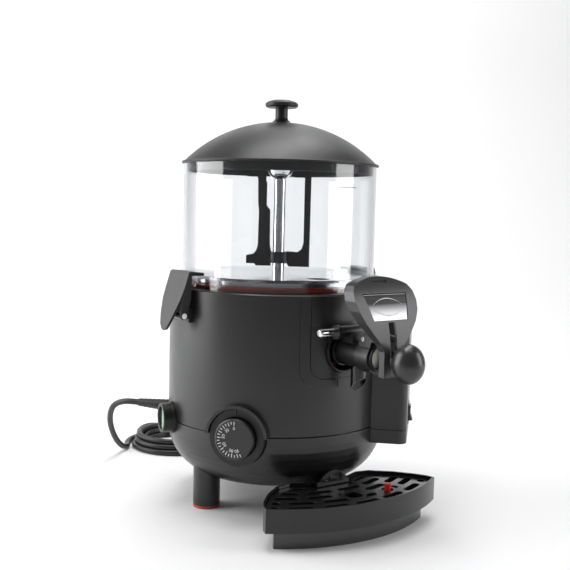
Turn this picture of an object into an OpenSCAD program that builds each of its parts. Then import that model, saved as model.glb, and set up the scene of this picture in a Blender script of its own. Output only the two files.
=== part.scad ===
// Heated sauce dispenser of the five-litre kind: a drum-shaped water-bath heater, a clear bowl
// with a slow agitator, a lever tap over a drip tray, and a mains lead.
// Every piece is drawn about the drum's upright axis, and angles count from the tap side (-Y)
// towards +X.

/* [Housing] */
// Outer radius of the drum
body_r = 126; // [122:1:130]
// Height of the seam between the lower pan and the upper shell
seam_z = 99; // [97:1:101]
// Height of the deck that the bowl stands on
deck_z = 250; // [248:1:252]
// Thickness of the moulded housing walls
wall_t = 2.5; // [2:0.1:3]
// Radius of the rounded edge under the drum
pan_round = 56; // [52:1:58]
// Height of the drum's underside above the worktop
pan_z = 32; // [30:1:34]
// Radius of a foot
foot_r = 15.3; // [13:0.1:16]
// Distance of the feet from the drum's axis
foot_ring_r = 93; // [90:1:95]
// Number of feet
foot_count = 4; // [4:1:4]
// Half width of the frame around the tap panel
frame_half_w = 51; // [48:1:54]
// Height of the lower edge of that frame
frame_z = 151.5; // [149:0.5:154]
// Width of that frame
frame_w = 10; // [8:0.5:11]

/* [Bowl and lid] */
// Outer radius of the clear bowl
bowl_r = 112; // [110:0.5:112]
// Thickness of the bowl's wall
bowl_t = 3; // [2.5:0.1:3.5]
// Height of the bowl's brim
bowl_top_z = 388.5; // [380:0.5:392]
// Outer radius of the clear ring around the bowl's foot
skirt_r = 117.4; // [116:0.2:118]
// Height of the top of that ring
skirt_z = 264.5; // [263:0.5:265]
// Rise of the lid's dome
dome_rise = 48; // [40:1:55]
// Overall height, to the top of the lid's knob
total_h = 465; // [460:1:475]

/* [Heater and drive] */
// Outer radius of the water bath
bath_r = 100; // [96:1:101]
// Height of the water bath's floor
bath_z = 150; // [148:1:156]
// Height of the heated floor of the bowl
floor_z = 263; // [261:0.5:264]
// Outer radius of the upright steel tube
tube_r = 7; // [6.5:0.1:7.5]
// Height of the top of the steel tube
tube_top_z = 374; // [365:1:376]
// Radius of the drive shaft
shaft_r = 4; // [3.5:0.1:4.2]

/* [Tap] */
// Height of the tap's axis
tap_z = 190; // [188:1:192]
// Outer radius of the tap's barrel
barrel_r = 14.5; // [14:0.1:15]
// Bore radius of the barrel
barrel_bore_r = 12; // [11.5:0.1:12.2]
// Distance of the barrel's open front end from the drum's axis
barrel_front = 186; // [182:1:188]
// Distance of the spout from the drum's axis
spout_y = 151; // [149:1:153]
// Outer radius of the spout
spout_r = 8; // [7:0.1:8.5]
// Distance of the lever's pivot from the drum's axis
lever_y = 172; // [171:0.5:173]
// Height of the lever's pivot
lever_z = 209; // [208.5:0.5:210]
// Width of the egg-shaped knob
egg_w = 33; // [28:1:36]
// Height of the egg-shaped knob
egg_h = 41; // [36:1:44]

/* [Controls] */
// Angle of the thermostat around the drum
dial_a = -53; // [-55:1:-50]
// Height of the thermostat's centre
dial_z = 97; // [96:0.5:98]
// Radius of the thermostat's knob
dial_r = 22; // [20:0.5:22.4]
// Angle of the power switch around the drum
switch_a = -104; // [-106:1:-100]
// Height of the power switch's centre
switch_z = 99.5; // [98:0.5:101]
// Angle of the control box around the drum
box_a = 45; // [44:1:46]
// Distance of the control box's outer face from the drum's axis
box_face = 157.5; // [150:0.5:158]
// Width of the control box
box_w = 92; // [86:1:94]

/* [Drip tray] */
// Outer radius of the tray's front wall, about the drum's axis
tray_r = 195; // [190:1:197]
// Height of the tray's rim
tray_z = 45; // [42:0.5:46]
// Height of the tray's stepped-in base
tray_step_z = 20; // [18:0.5:22]
// Radius of the hole in the grate under the spout
drain_r = 9.5; // [8:0.5:11]

/* [Mains lead] */
// Diameter of the lead
lead_d = 7.6; // [7:0.1:8]
// Outer radius of the coiled lead
coil_r = 70; // [68:1:72]
// Thickness of the coiled lead's ring
coil_w = 30; // [24:1:32]
// Height of the coiled lead
coil_h = 25; // [22:1:27]

/* [Hidden] */
$fn = 96;

// The drum's axis stands behind the origin, which is under the middle of the whole machine
axis_y = 58.5;
// Clearance of a shaft in its hole, and between pieces that only meet
shaft_gap = 0.05;
fit_gap = 0.05;

// Drum
shell_in_r = body_r - wall_t;
floor_r = body_r - pan_round;
bend_z = pan_z + pan_round;
seam_gap = 1.4;
pan_top = seam_z - seam_gap;
deck_hole_r = bath_r + 1.6;
foot_z = 3;
peg_r = 5;
service_r = 50;
cover_screw_ring = 53.5;
screw_r = 1.9;
panel_t = 1.4;
panel_top = deck_z - 1.2;
socket_r = 24;
socket_y = 104;

// Bowl, lid and drive
bowl_in_r = bowl_r - bowl_t;
seal_r = bowl_in_r - 2;
sheet_t = 1.2;
rim_z = bowl_top_z + 0.4;
dome_z = 391;
dome_r = (pow(bowl_r + 0.7, 2) + pow(dome_rise, 2)) / (2 * dome_rise);
dome_top = dome_z + dome_rise;
lid_seat_z = dome_top + 1;
sump_y = 78;
sump_r = 13;
cup_r = 14.5;
cup_z = tube_top_z + 12;

agitator_a = -35;
agitator_t = 6;

// Latches
latch_w = 42;
latch_pin_y = 137;
latch_pin_z = 222;
latch_pin_r = 2;
hook_z = skirt_z + 0.5;
cheek_t = 3;

// Tap
tail_len = 16;
tail_back = 22.5;
lever_rest = -19.2;
lever_t = 6;
pivot_r = 2.5;
piston_r = barrel_bore_r - 0.08;
piston_back = 141;
ring_y = [143.5, 158];
notch_y = lever_y - tail_len * sin(tail_back);
lock_y = 143;
lock_z = tap_z + 23.5;
lock_r = 4.5;
egg_y = 226.5;
egg_reach = (egg_y - lever_y) / cos(lever_rest);
shield_front = 205;
shield_bend_z = tap_z + 6;
shield_bend_r = 117;
shield_t = 2.4;
shield_slot_w = 9;

// Drip tray
tray_wall = 2.2;
tray_back = 111;
tray_a = -2.5;
tray_base_in = 12;
grate_z = 38;
grate_t = 3.5;
drain_y = 158;
slot_l = 30;
slot_w = 8.5;
slot_gap = 7;
row_r = [121, 137, 152, 167, 182];
float_x = 43;
float_y = 161;
float_hole_r = 6.5;
float_stem_r = 3.7;
grate_gap = 1;
clip_half_w = 21;

// Side controls
switch_r = 16.5;
switch_pivot_y = 130;
switch_tilt = 8;
box_cap_z = 80;
box_seam_z = 96;
box_top_z = 240;
box_round = 10;
box_wall = 2.2;
rocker_z = 107;
rocker_pivot_y = box_face - 1;
rocker_tilt = 7;

// Mains lead: where it leaves the drum, and the points that it passes on its way to the coil
gland_a = -145;
gland_z = 92;
gland_tip = 183;
coil_x = 3;
coil_y = 248;
lead_r = lead_d / 2;
lead_route = [
    [-105, 150, 92], [-117, 167, 91], [-123, 183, 84], [-121, 200, 69], [-112, 218, 48],
    [-97, 235, 25], [-80, 251, 9], [-66, 265, 4]];
tail_route = [
    [57, 288, 4], [68, 281, 5], [79, 273, 8], [89, 264, 13], [98, 253, 17], [105, 242, 19]];
plug_turn = -60;

// Sets the whole machine so that the origin lies under its middle
module placed() {
    translate([0, axis_y, 0]) children();
}

// Turns what is drawn at the tap side to another side of the drum
module at_side(angle) {
    rotate([0, 0, angle]) children();
}

// Points what is drawn along +Z outwards at the tap side, from a distance y and a height z
module outwards(y, z) {
    translate([0, -y, z]) rotate([90, 0, 0]) children();
}

// Extrudes a side view, drawn as distance from the axis and height, across the tap side
module side_view(w) {
    rotate([90, 0, -90]) linear_extrude(w, center = true) children();
}

// Extrudes a front view, drawn as width and height, from distance y0 out to y1
module front_view(y0, y1) {
    outwards(y0, 0) linear_extrude(y1 - y0) children();
}

// Lays a cylinder across the tap side
module cross_bar(r, x0, x1, y, z) {
    translate([x0, -y, z]) rotate([0, 90, 0]) cylinder(r = r, h = x1 - x0);
}

module ring(r_out, r_in, h) {
    difference() {
        cylinder(r = r_out, h = h);
        translate([0, 0, -1]) cylinder(r = r_in, h = h + 2);
    }
}

// Half section of the drum, from its rounded underside up to a height, moved in by an inset
module drum_half(inset, top) {
    arc = [
        for (a = [-90:7.5:0])
            [floor_r + (pan_round - inset) * cos(a), bend_z + (pan_round - inset) * sin(a)]];
    polygon(concat([[0, top], [0, pan_z + inset]], arc, [[body_r - inset, top]]));
}

module drum_solid(inset) {
    rotate_extrude() drum_half(inset, deck_z);
}

// Openings that the thermostat, the switch and the lead's gland need in the housing
module control_openings() {
    at_side(dial_a) outwards(100, dial_z) cylinder(r = 31.6, h = 50);
    at_side(switch_a) outwards(100, switch_z) cylinder(r = 14, h = 50);
    at_side(gland_a) outwards(100, gland_z) cylinder(r = 5.1, h = 50);
}

// ---------- housing ----------

module housing_shell() {
    color("#2b2c2e") difference() {
        union() {
            rotate_extrude() {
                polygon([
                    [shell_in_r, seam_z], [body_r, seam_z], [body_r, deck_z - 1.2], [body_r - 1.2, deck_z],
                    [deck_hole_r, deck_z], [deck_hole_r, deck_z - wall_t], [shell_in_r, deck_z - wall_t]]);
            }
            dial_brow();
        }
        control_openings();
        outwards(100, tap_z) cylinder(r = socket_r + 0.5, h = 50);
        at_side(box_a) outwards(100, 150) cylinder(r = 9, h = 50);
    }
}

// Raised half ring over the thermostat
module dial_brow() {
    difference() {
        at_side(dial_a) difference() {
            outwards(110, dial_z) ring(35, 31, 23);
            translate([-40, -140, dial_z - 40]) cube([80, 40, seam_z + 0.5 - dial_z + 40]);
        }
        cylinder(r = body_r - 1, h = deck_z);
    }
}

module lower_pan() {
    color("#303133") difference() {
        union() {
            difference() {
                rotate_extrude() drum_half(0, pan_top);
                rotate_extrude() drum_half(wall_t, pan_top + 1);
            }
            translate([0, 0, bend_z + 2]) ring(shell_in_r + 0.5, shell_in_r - 2.5, pan_top - bend_z - 2);
            translate([0, 0, pan_top - 1]) ring(shell_in_r - fit_gap, shell_in_r - 2.5, 7);
        }
        control_openings();
        translate([0, 0, pan_z - 1]) cylinder(r = service_r, h = 5);
        on_screw_ring() translate([0, 0, pan_z - 1]) cylinder(r = screw_r + fit_gap, h = 5);
    }
}

module on_foot_ring() {
    for (i = [0:foot_count - 1]) {
        at_side(i * 360 / foot_count) translate([0, -foot_ring_r, 0]) children();
    }
}

module on_screw_ring() {
    for (i = [0:3]) {
        at_side(45 + i * 90) translate([0, -cover_screw_ring, 0]) children();
    }
}

module feet() {
    color("#303133") difference() {
        on_foot_ring() translate([0, 0, foot_z]) cylinder(r = foot_r, h = bend_z - foot_z);
        on_foot_ring() translate([0, 0, foot_z - 1]) cylinder(r = peg_r, h = 12);
        drum_solid(-fit_gap);
    }
}

module foot_pads() {
    color("#c8432f") on_foot_ring() {
        cylinder(r = foot_r, h = foot_z);
        translate([0, 0, foot_z - 0.5]) cylinder(r = peg_r - fit_gap, h = 9);
    }
}

module base_cover() {
    color("#3a3b3d") difference() {
        translate([0, 0, pan_z - 2]) cylinder(r = 57, h = 2);
        on_screw_ring() translate([0, 0, pan_z - 3]) cylinder(r = screw_r + fit_gap, h = 5);
        for (i = [-3:3]) {
            translate([i * 8 - 1.5, -22, pan_z - 3]) cube([3, 44, 5]);
        }
    }
}

module cover_screws() {
    color("silver") on_screw_ring() {
        translate([0, 0, pan_z - 4.2]) cylinder(r = 3.6, h = 2.2);
        translate([0, 0, pan_z - 3]) cylinder(r = screw_r, h = 8);
    }
}

// Outline of the upright panel around the tap, with rounded lower corners
module panel_outline(half_w, low_z, corner) {
    translate([-half_w, low_z + corner]) square([2 * half_w, panel_top - low_z - corner]);
    translate([corner - half_w, low_z]) square([2 * (half_w - corner), corner + 1]);
    for (side = [-1, 1]) {
        translate([side * (half_w - corner), low_z + corner]) circle(corner);
    }
}

module on_drum_front(t) {
    intersection() {
        ring(body_r + t, body_r + fit_gap, deck_z);
        front_view(60, 140) children();
    }
}

module panel_frame() {
    color("#2b2c2e") difference() {
        on_drum_front(panel_t) difference() {
            panel_outline(frame_half_w, frame_z, 20);
            panel_outline(frame_half_w - frame_w, frame_z + frame_w - 1, 15);
        }
        translate([-8.5, -140, frame_z - 1]) cube([0.8, 30, frame_w + 2]);
        at_side(box_a) linear_extrude(deck_z) box_plan(-0.1);
    }
}

module tap_panel() {
    color("#2d2e30") difference() {
        on_drum_front(panel_t) panel_outline(frame_half_w - frame_w - 0.8, frame_z + frame_w - 0.2, 14.5);
        outwards(100, tap_z) cylinder(r = socket_r + 0.5, h = 50);
    }
}

// Round recess that the tap plugs into, with a hood over it
module tap_socket() {
    color("#222325") {
        difference() {
            outwards(socket_y, tap_z) cylinder(r = socket_r, h = 126.5 - socket_y);
            outwards(socket_y + 2.5, tap_z) cylinder(r = socket_r - 2.5, h = 30);
            outwards(socket_y - 1, tap_z) cylinder(r = barrel_r + 0.2, h = 30);
        }
        outwards(127.5, tap_z) translate([0, 0, -1.5]) ring(socket_r, socket_r - 2.5, 3);
        difference() {
            outwards(127.6, tap_z) ring(socket_r + 3, socket_r - 2.5, 2.2);
            translate([-40, -140, tap_z - 40]) cube([80, 40, 52]);
        }
    }
}

// ---------- water bath and drive ----------

module water_bath() {
    color("#c9ccd0") difference() {
        translate([0, 0, bath_z]) cylinder(r = bath_r, h = deck_z + 2 - bath_z);
        translate([0, 0, bath_z + sheet_t]) cylinder(r = bath_r - sheet_t, h = 120);
        translate([0, 0, bath_z - 1]) cylinder(r = tube_r + shaft_gap, h = 5);
        outwards(80, tap_z) cylinder(r = 12.6, h = 40);
        for (side = [-1, 1]) {
            translate([side * 10, 62, bath_z - 1]) cylinder(r = 4.05, h = 5);
        }
    }
}

module heated_floor() {
    color("#d4d7da") difference() {
        rotate_extrude() polygon([
            [0, floor_z], [bath_r - 2, floor_z], [bath_r + 1.3, floor_z - 3], [bath_r + 1.3, deck_z],
            [bath_r + 0.1, deck_z], [bath_r + 0.1, floor_z - 3.4], [bath_r - 2.4, floor_z - sheet_t],
            [0, floor_z - sheet_t]]);
        translate([0, 0, floor_z - 3]) cylinder(r = tube_r + shaft_gap, h = 5);
        translate([0, -sump_y, floor_z - 3]) cylinder(r = sump_r + fit_gap, h = 5);
    }
}

// Outlet: a well under the heated floor and a spigot that leads to the tap
module outlet_elbow() {
    color("#c9ccd0") difference() {
        union() {
            translate([0, -sump_y, tap_z - 14]) cylinder(r = sump_r, h = floor_z - tap_z + 14);
            outwards(sump_y, tap_z) cylinder(r = 12.5, h = socket_y - sump_y);
        }
        translate([0, -sump_y, tap_z - 14 + sheet_t]) cylinder(r = sump_r - sheet_t, h = 100);
        outwards(sump_y, tap_z) cylinder(r = 12.5 - sheet_t, h = 40);
    }
}

module heating_element() {
    color("#8d7a66") {
        rotate_extrude() translate([62, bath_z + 12]) circle(4, $fn = 48);
        for (side = [-1, 1]) {
            translate([side * 10, 62, bath_z - 12]) cylinder(r = 4, h = 24);
        }
    }
}

module gearmotor() {
    color("#77797c") difference() {
        union() {
            translate([0, 0, 110]) cylinder(r = 32, h = 26);
            translate([0, 0, 62]) cylinder(r = 24, h = 49);
            translate([0, 0, 136]) cylinder(r = 9, h = 3);
        }
        translate([0, 0, 116]) cylinder(r = shaft_r + shaft_gap, h = 30);
    }
}

// Plate that hangs the gearmotor from the water bath on three posts
module motor_bracket() {
    color("#a9abad") {
        translate([0, 0, 136]) ring(52, 9.2, 2.5);
        for (i = [0:2]) {
            rotate([0, 0, 30 + i * 120]) translate([46, 0, 138]) cylinder(r = 4, h = bath_z - 138);
        }
    }
}

module drive_tube() {
    color("#e3e5e8") {
        translate([0, 0, bath_z - 5]) ring(tube_r, tube_r - 1, tube_top_z - bath_z + 5);
        translate([0, 0, bath_z - 3]) ring(12, tube_r - 0.5, 3);
    }
}

// Polished cup at the head of the tube, which keeps the sauce off the bearing
module tube_cup() {
    color("#e3e5e8") rotate_extrude() intersection() {
        difference() {
            translate([0, cup_z]) circle(cup_r);
            translate([0, cup_z]) circle(cup_r - sheet_t);
        }
        translate([tube_r + fit_gap, cup_z - cup_r]) square([cup_r, cup_r - 2]);
    }
}

module drive_shaft() {
    color("#d0d2d5") translate([0, 0, 118]) cylinder(r = shaft_r, h = cup_z - 118);
}

module shaft_bushes() {
    color("#efeee8") {
        for (z = [bath_z, tube_top_z - 12]) {
            translate([0, 0, z]) ring(tube_r - 1.02, shaft_r + shaft_gap, 11);
        }
    }
}

// ---------- bowl, agitator and lid ----------

// Agitator frame: a broad blade and a narrow one, joined over the tube by a bridge
module agitator() {
    color("#1f2022") {
        at_side(agitator_a) rotate([90, 0, 0]) linear_extrude(agitator_t, center = true) {
            agitator_outline();
        }
        translate([0, 0, cup_z - 6]) ring(9, shaft_r + 0.03, 9);
        translate([0, 0, 276]) ring(11.5, tube_r + 0.6, 13);
    }
}

module agitator_outline() {
    difference() {
        union() {
            translate([-38, 376]) square([74, 12.5]);
            polygon([
                [-27, 380], [-25.5, 372], [-25, 345], [-24, 338], [-24.5, 297], [-26.5, 290], [-30, 286],
                [-38, 284.5], [-38, 275], [-28, 275], [-27, 272.5], [-9, 272.5], [-9, 290], [-10.4, 296],
                [-10.8, 338], [-15, 343], [-14.8, 380]]);
            polygon([
                [36.5, 380], [36, 272], [12, 272], [9, 277], [9, 290], [22, 289], [27, 293], [29, 300],
                [29, 380]]);
        }
        translate([0, cup_z]) circle(cup_r + 1.2);
        translate([-16, 370]) square([32, cup_z - 370]);
        translate([-tube_r - 0.6, 260]) square([2 * tube_r + 1.2, 100]);
    }
    translate([-16, cup_z + 0.5]) square([7.5, 2]);
    translate([8.5, cup_z + 0.5]) square([7.5, 2]);
}

module bowl() {
    color("#e8eef2", 0.35) rotate_extrude() {
        translate([bowl_in_r, 254]) square([bowl_t, bowl_top_z - 254]);
        translate([seal_r, 252.5]) square([skirt_r - seal_r, 3]);
        translate([seal_r, 252.5]) square([2.5, 9.5]);
        translate([skirt_r - 2.6, deck_z + 0.3]) square([2.6, skirt_z - deck_z - 0.3]);
    }
}

// Ribbed rubber ring that seals the bowl against the rim of the heated floor
module bowl_seal() {
    color("#c8432f") rotate_extrude() {
        translate([bath_r + 1.35, deck_z + 0.1]) square([seal_r - bath_r - 2.35, 5.5]);
        for (z = [deck_z + 1.8, deck_z + 4.2]) {
            translate([seal_r - 1.6, z]) circle(1.1, $fn = 24);
        }
    }
}

module lid() {
    color("#1d1e20") difference() {
        rotate_extrude() {
            intersection() {
                difference() {
                    translate([0, dome_top - dome_r]) circle(dome_r);
                    translate([0, dome_top - dome_r]) circle(dome_r - 2.4);
                }
                translate([0, dome_z - 0.5]) square([bowl_r + 1, dome_rise + 2]);
            }
            translate([bowl_r - 3, rim_z]) square([4.2, dome_z - rim_z + 1]);
            translate([bowl_r + 0.9, rim_z + 1.6]) circle(1.6);
            translate([bowl_in_r - 4, rim_z + 0.2]) square([6, 2.2]);
            translate([bowl_in_r - 3.6, rim_z - 9]) square([2.4, 11]);
            translate([0, dome_top - 2]) square([10.5, lid_seat_z - dome_top + 2]);
        }
        translate([0, 0, dome_top - 5]) cylinder(r = 3.1, h = 20);
    }
}

module lid_knob() {
    color("#1d1e20") rotate_extrude() {
        translate([0, dome_top - 8]) square([3, 20]);
        translate([0, lid_seat_z]) polygon([[0, 0], [10, 0], [8.4, 1.5], [7.2, 4], [7.2, 20], [0, 20]]);
        translate([0, total_h - 9]) polygon([
            [0, 0], [17, 0], [18.8, 1.2], [19.2, 3.2], [18.6, 5], [16, 6.8], [11, 8.3], [5, 8.9], [0, 9]]);
    }
}

// ---------- latches ----------

module latch_bracket() {
    difference() {
        side_view(latch_w - 2 * cheek_t - 1) union() {
            translate([latch_pin_y, latch_pin_z]) circle(4);
            translate([120, latch_pin_z - 8]) square([9, 16]);
            translate([120, latch_pin_z - 3.5]) square([latch_pin_y - 120, 7]);
        }
        cylinder(r = body_r + fit_gap, h = 300);
        cross_bar(latch_pin_r + 0.03, -30, 30, latch_pin_y, latch_pin_z);
    }
}

module latch_brackets() {
    color("#2b2c2e") {
        for (side = [-90, 90]) {
            at_side(side) latch_bracket();
        }
    }
}

module latch_pins() {
    color("#c9ccd0") {
        for (side = [-90, 90]) {
            at_side(side) {
                cross_bar(latch_pin_r, -latch_w / 2, latch_w / 2, latch_pin_y, latch_pin_z);
                cross_bar(3.2, latch_w / 2 + 0.1, latch_w / 2 + 1.4, latch_pin_y, latch_pin_z);
                cross_bar(3.2, -latch_w / 2 - 1.4, -latch_w / 2 - 0.1, latch_pin_y, latch_pin_z);
                cross_bar(latch_pin_r - 0.4, -latch_w / 2 - 1, latch_w / 2 + 1, latch_pin_y, latch_pin_z);
            }
        }
    }
}

// Front view of a latch's tongue, which narrows to a round tip
module latch_outline() {
    half = [[0, 205], [5, 206.4], [9, 212], [14, 223], [19.5, 239], [latch_w / 2, 252], [latch_w / 2, 290]];
    polygon(concat(half, [for (i = [len(half) - 1:-1:1]) [-half[i][0], half[i][1]]]));
}

// Over-centre lever: a tongue that leans outwards, a hook over the bowl's ring and two cheeks on
// the pin
module latch() {
    difference() {
        union() {
            intersection() {
                side_view(latch_w + 2) polygon([
                    [113, hook_z], [113, hook_z + 3.2], [129, hook_z + 4.8], [131.5, hook_z + 3.5], [136, 254],
                    [141.4, 239], [146.5, 224], [150, 212], [151, 203], [148.4, 203], [146.8, 212],
                    [143.2, 224], [138, 239], [132.5, 254], [129.5, 262], [127.5, hook_z]]);
                front_view(100, 160) latch_outline();
            }
            for (side = [-1, 1]) {
                translate([side * (latch_w - cheek_t) / 2, 0, 0]) side_view(cheek_t - 0.1) union() {
                    translate([latch_pin_y, latch_pin_z]) circle(4);
                    polygon([
                        [127.6, hook_z + 0.6], [130.6, hook_z + 1.2], [135.3, 254], [138.4, 243], [140.6, 226],
                        [138.5, 219.5], [134, 220], [128.5, 240]]);
                }
            }
        }
        cylinder(r = bowl_r + 1.4, h = 400);
        cross_bar(latch_pin_r + 0.06, -30, 30, latch_pin_y, latch_pin_z);
    }
}

module latch_left() {
    color("#3b3c3e") at_side(-90) latch();
}

module latch_right() {
    color("#3b3c3e") at_side(90) latch();
}

// ---------- thermostat, switch and control box ----------

module thermostat_ring() {
    color("#2f3032") at_side(dial_a) difference() {
        outwards(119, dial_z) cylinder(r = 30.8, h = 11);
        outwards(121, dial_z) cylinder(r = dial_r + 0.8, h = 20);
        outwards(118, dial_z) cylinder(r = 3.6, h = 20);
        translate([-0.4, -131, dial_z + dial_r + 1]) cube([0.8, 2, 10]);
    }
}

module thermostat_body() {
    color("#b08d57") at_side(dial_a) difference() {
        outwards(92, dial_z) cylinder(r = 17, h = 26.8);
        outwards(106, dial_z) cylinder(r = 3 + shaft_gap, h = 20);
    }
}

module thermostat_knob() {
    color("#26272a") at_side(dial_a) {
        outwards(121.6, dial_z) cylinder(r = dial_r, h = 15);
        outwards(136.5, dial_z) cylinder(r1 = dial_r, r2 = dial_r - 1.2, h = 1.2, $fn = 96);
        outwards(107, dial_z) cylinder(r = 3, h = 16);
    }
}

module switch_bezel() {
    color("#1b1c1e") at_side(switch_a) difference() {
        union() {
            difference() {
                union() {
                    outwards(118, switch_z) cylinder(r = switch_r + 1.5, h = 10.5);
                    outwards(118, switch_z) cylinder(r = switch_r, h = 21);
                }
                cylinder(r = body_r + fit_gap, h = 200);
            }
            outwards(111, switch_z) cylinder(r = 13.9, h = 17);
        }
        outwards(112.5, switch_z) cylinder(r = 12.9, h = 40);
        outwards(110, switch_z) cylinder(r = 5, h = 40);
    }
}

module switch_body() {
    color("#dcdcd6") at_side(switch_a) {
        outwards(96, switch_z) cylinder(r = 12, h = 14.9);
        outwards(112.6, switch_z) cylinder(r = 12.6, h = 8);
        outwards(110, switch_z) cylinder(r = 4.8, h = 3);
    }
}

// Round rocker with two slanted halves; it rocks about an upright axis
module power_rocker() {
    color("#3fae6a") at_side(switch_a) translate([0, -switch_pivot_y, switch_z]) {
        rotate([0, 0, -switch_tilt]) intersection() {
            rotate([90, 0, 0]) translate([0, 0, -4]) cylinder(r = 11.9, h = 14);
            linear_extrude(40, center = true) {
                polygon([[-13, 4], [-13, -5.6], [-2, -7.4], [2, -7.4], [13, -5.6], [13, 4]]);
            }
        }
    }
}

// Plan of the control box, moved in by an inset
module box_plan(inset) {
    half = box_w / 2 - inset;
    out = box_face - inset;
    r = box_round - inset;
    translate([-half, r - out]) square([2 * half, out - 100 - r]);
    translate([r - half, -out]) square([2 * (half - r), r + 1]);
    for (side = [-1, 1]) {
        translate([side * (half - r), r - out]) circle(r);
    }
}

module box_shell() {
    color("#2a2b2d") at_side(box_a) difference() {
        union() {
            translate([0, 0, box_seam_z]) linear_extrude(box_top_z - box_seam_z) box_plan(0);
            translate([-9, -box_face - 1, rocker_z - 12]) cube([18, 4, 24]);
        }
        translate([0, 0, box_seam_z - 1]) linear_extrude(box_top_z - box_seam_z + 1 - box_wall) {
            box_plan(box_wall);
        }
        translate([-7, -box_face - 5, rocker_z - 10]) cube([14, 12, 20]);
        cylinder(r = body_r + fit_gap, h = 300);
    }
}

module box_cap() {
    color("#242527") difference() {
        at_side(box_a) difference() {
            union() {
                translate([0, 0, box_cap_z]) linear_extrude(box_seam_z - 0.6 - box_cap_z) box_plan(0);
                translate([0, 0, box_seam_z - 2]) linear_extrude(5) box_plan(box_wall + 0.1);
            }
            translate([0, 0, box_cap_z + box_wall]) linear_extrude(30) box_plan(2 * box_wall);
            translate([-9.6, -box_face - 5, rocker_z - 12.3]) cube([19.2, 14, 20]);
        }
        drum_solid(-fit_gap);
    }
}

module box_board() {
    color("#2f6b45") at_side(box_a) {
        translate([-34, -141, 130]) cube([68, 1.6, 90]);
        translate([-20, -150, 150]) cube([16, 9.2, 22]);
        translate([6, -149, 176]) cube([20, 8.2, 14]);
    }
}

module box_rocker() {
    color("#1b1c1e") at_side(box_a) translate([0, -rocker_pivot_y, rocker_z]) rotate([-rocker_tilt, 0, 0]) {
        rotate([90, 0, -90]) linear_extrude(13, center = true) polygon([
            [-3.5, -8.4], [2.6, -9], [5.2, -8.6], [3.6, 0], [5.2, 8.6], [2.6, 9], [-3.5, 8.4]]);
    }
}

// ---------- tap ----------

module tap_bore(r, y0, y1) {
    outwards(y0, tap_z) cylinder(r = r, h = y1 - y0);
}

module tap_barrel() {
    color("#1f2022") difference() {
        union() {
            tap_bore(barrel_r, socket_y + 0.8, barrel_front);
            tap_bore(barrel_r + 1.3, 110.4, 127);
            translate([-9, -lock_y - 8, tap_z + 8]) cube([18, 16, lock_z - tap_z - 8]);
            cross_bar(6.4, -23, 24, lock_y, lock_z);
            cross_bar(7.6, -26, -22, lock_y, lock_z);
        }
        tap_bore(barrel_bore_r, socket_y, barrel_front + 1);
        cross_bar(lock_r + shaft_gap, -40, 40, lock_y, lock_z);
        translate([0, -spout_y, tap_z - 30]) cylinder(r = spout_r - 1.6, h = 30);
        translate([-4.2, -barrel_front - 1, tap_z + 5]) cube([8.4, barrel_front - 158, 20]);
    }
}

module tap_seal() {
    color("#c8432f") tap_bore_ring(barrel_r + 3.2, barrel_r + 0.02, socket_y + 2.6, 110.3);
}

module tap_bore_ring(r_out, r_in, y0, y1) {
    outwards(y0, tap_z) ring(r_out, r_in, y1 - y0);
}

module tap_piston() {
    color("#e6e4dc") difference() {
        tap_bore(piston_r, piston_back, 176);
        translate([-20, -notch_y - 5.8, tap_z - 3]) cube([40, 11.6, 20]);
        tap_bore(8, piston_back - 1, piston_back + 10);
        for (y = ring_y) {
            tap_bore_ring(20, piston_r - 2.1, y - 1.15, y + 1.15);
        }
    }
}

module piston_rings() {
    color("#8a2f22") {
        for (y = ring_y) {
            outwards(y, tap_z) rotate_extrude() translate([piston_r - 1, 0]) circle(1.04, $fn = 32);
        }
    }
}

// Spout, cut aslant so that its mouth opens to the front
module spout() {
    color("#4a4b4d") difference() {
        translate([0, -spout_y, tap_z - 41]) cylinder(r = spout_r, h = 34);
        translate([0, -spout_y, tap_z - 42]) cylinder(r = spout_r - 1.6, h = 40);
        tap_bore(barrel_r + 0.02, 100, 200);
        translate([0, -spout_y + spout_r, tap_z - 41]) rotate([-45, 0, 0]) translate([-20, -40, -20]) {
            cube([40, 60, 20]);
        }
    }
}

// Saddle on the barrel with two ears for the lever's pin and two arms that carry the shield
module lever_bracket() {
    color("#232426") difference() {
        union() {
            tap_bore_ring(barrel_r + 2.4, barrel_r + 0.02, 163, 183);
            for (side = [-1, 1]) {
                translate([side * 11, 0, 0]) side_view(3) union() {
                    translate([lever_y, lever_z]) circle(6);
                    polygon([
                        [164, tap_z + 9], [182, tap_z + 9], [184, 207.5], [200.6, 207.5], [200.2, 213],
                        [172, 215], [166, 209]]);
                }
            }
        }
        tap_bore(barrel_r + 0.02, 150, 190);
        translate([-9.2, -190, tap_z + 5]) cube([18.4, 40, 30]);
        cross_bar(pivot_r + 0.02, -20, 20, lever_y, lever_z);
    }
}

// Torsion spring on the lever's pin
module lever_spring() {
    color("#c9ccd0") {
        for (side = [-1, 1]) {
            for (i = [0:2]) {
                translate([side * (4.4 + i * 1.7), -lever_y, lever_z]) rotate([0, 90, 0]) {
                    rotate_extrude() translate([4, 0]) circle(0.7, $fn = 24);
                }
            }
        }
    }
}

module lever_pin() {
    color("#c9ccd0") {
        cross_bar(pivot_r, -13.4, 13.4, lever_y, lever_z);
        cross_bar(4, 12.6, 14, lever_y, lever_z);
    }
}

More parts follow.
